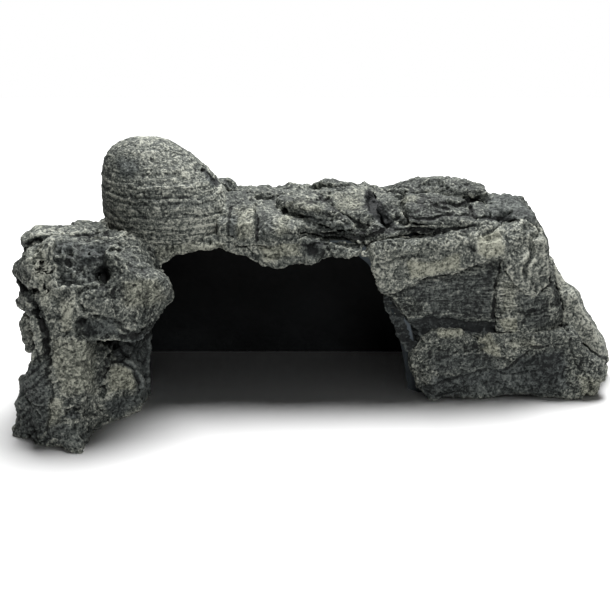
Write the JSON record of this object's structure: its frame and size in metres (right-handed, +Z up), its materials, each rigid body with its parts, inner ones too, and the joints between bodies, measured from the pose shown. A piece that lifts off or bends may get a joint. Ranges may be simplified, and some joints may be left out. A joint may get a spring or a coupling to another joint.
{
  "type": "cave ornament",
  "caption": "Grey rock cave for a tank or terrarium: wide low arch between a pillar and a sloping buttress, boulder on the roof.",
  "frame": {"origin": "on the floor, at the middle of the part's footprint rectangle", "axes": "+X to the right of someone facing the cave mouth, +Y from the mouth to the back, +Z up"},
  "size_m": [0.3, 0.15, 0.13],
  "materials": {
    "cave_lining": "smooth unpainted dark cast resin",
    "rock_grey": "matt paint dry-brushed pale over dark on rough cast resin",
    "rock_pale": "matt paint, heavily dry-brushed cream on rough cast resin",
    "rock_dark": "matt blue-black wash on rough cast resin, little dry-brushing"
  },
  "bodies": {
    "root": {"cave_shell": "cave_lining", "pillar_toe": "rock_dark", "flank_chip_upper": "rock_dark", "flank_chip_lower": "rock_dark", "foot_stone": "rock_pale", "left_pillar": "rock_grey", "pillar_head": "rock_grey", "pillar_cap": "rock_pale", "boulder": "rock_grey", "spring_stone": "rock_grey", "brow_lip": "rock_pale", "buttress_ledge": "rock_pale", "buttress_panel": "rock_dark", "buttress_toe": "rock_dark", "shoulder_stone": "rock_pale", "buttress_column": "rock_dark", "end_slab": "rock_grey", "stone_bed": "rock_dark", "wedge_stone": "rock_grey", "brow_stone": "rock_grey", "long_stone": "rock_grey", "saddle_stone": "rock_grey", "fin_stone": "rock_grey", "crown_slab": "rock_grey", "top_slab": "rock_grey", "corner_slab": "rock_grey", "back_slab": "rock_grey", "chock_stone": "rock_grey", "left_flank_slab": "rock_grey", "rear_stone_left": "rock_grey", "rear_stone_middle": "rock_grey", "rear_stone_right": "rock_grey"}
  },
  "joints": []
}
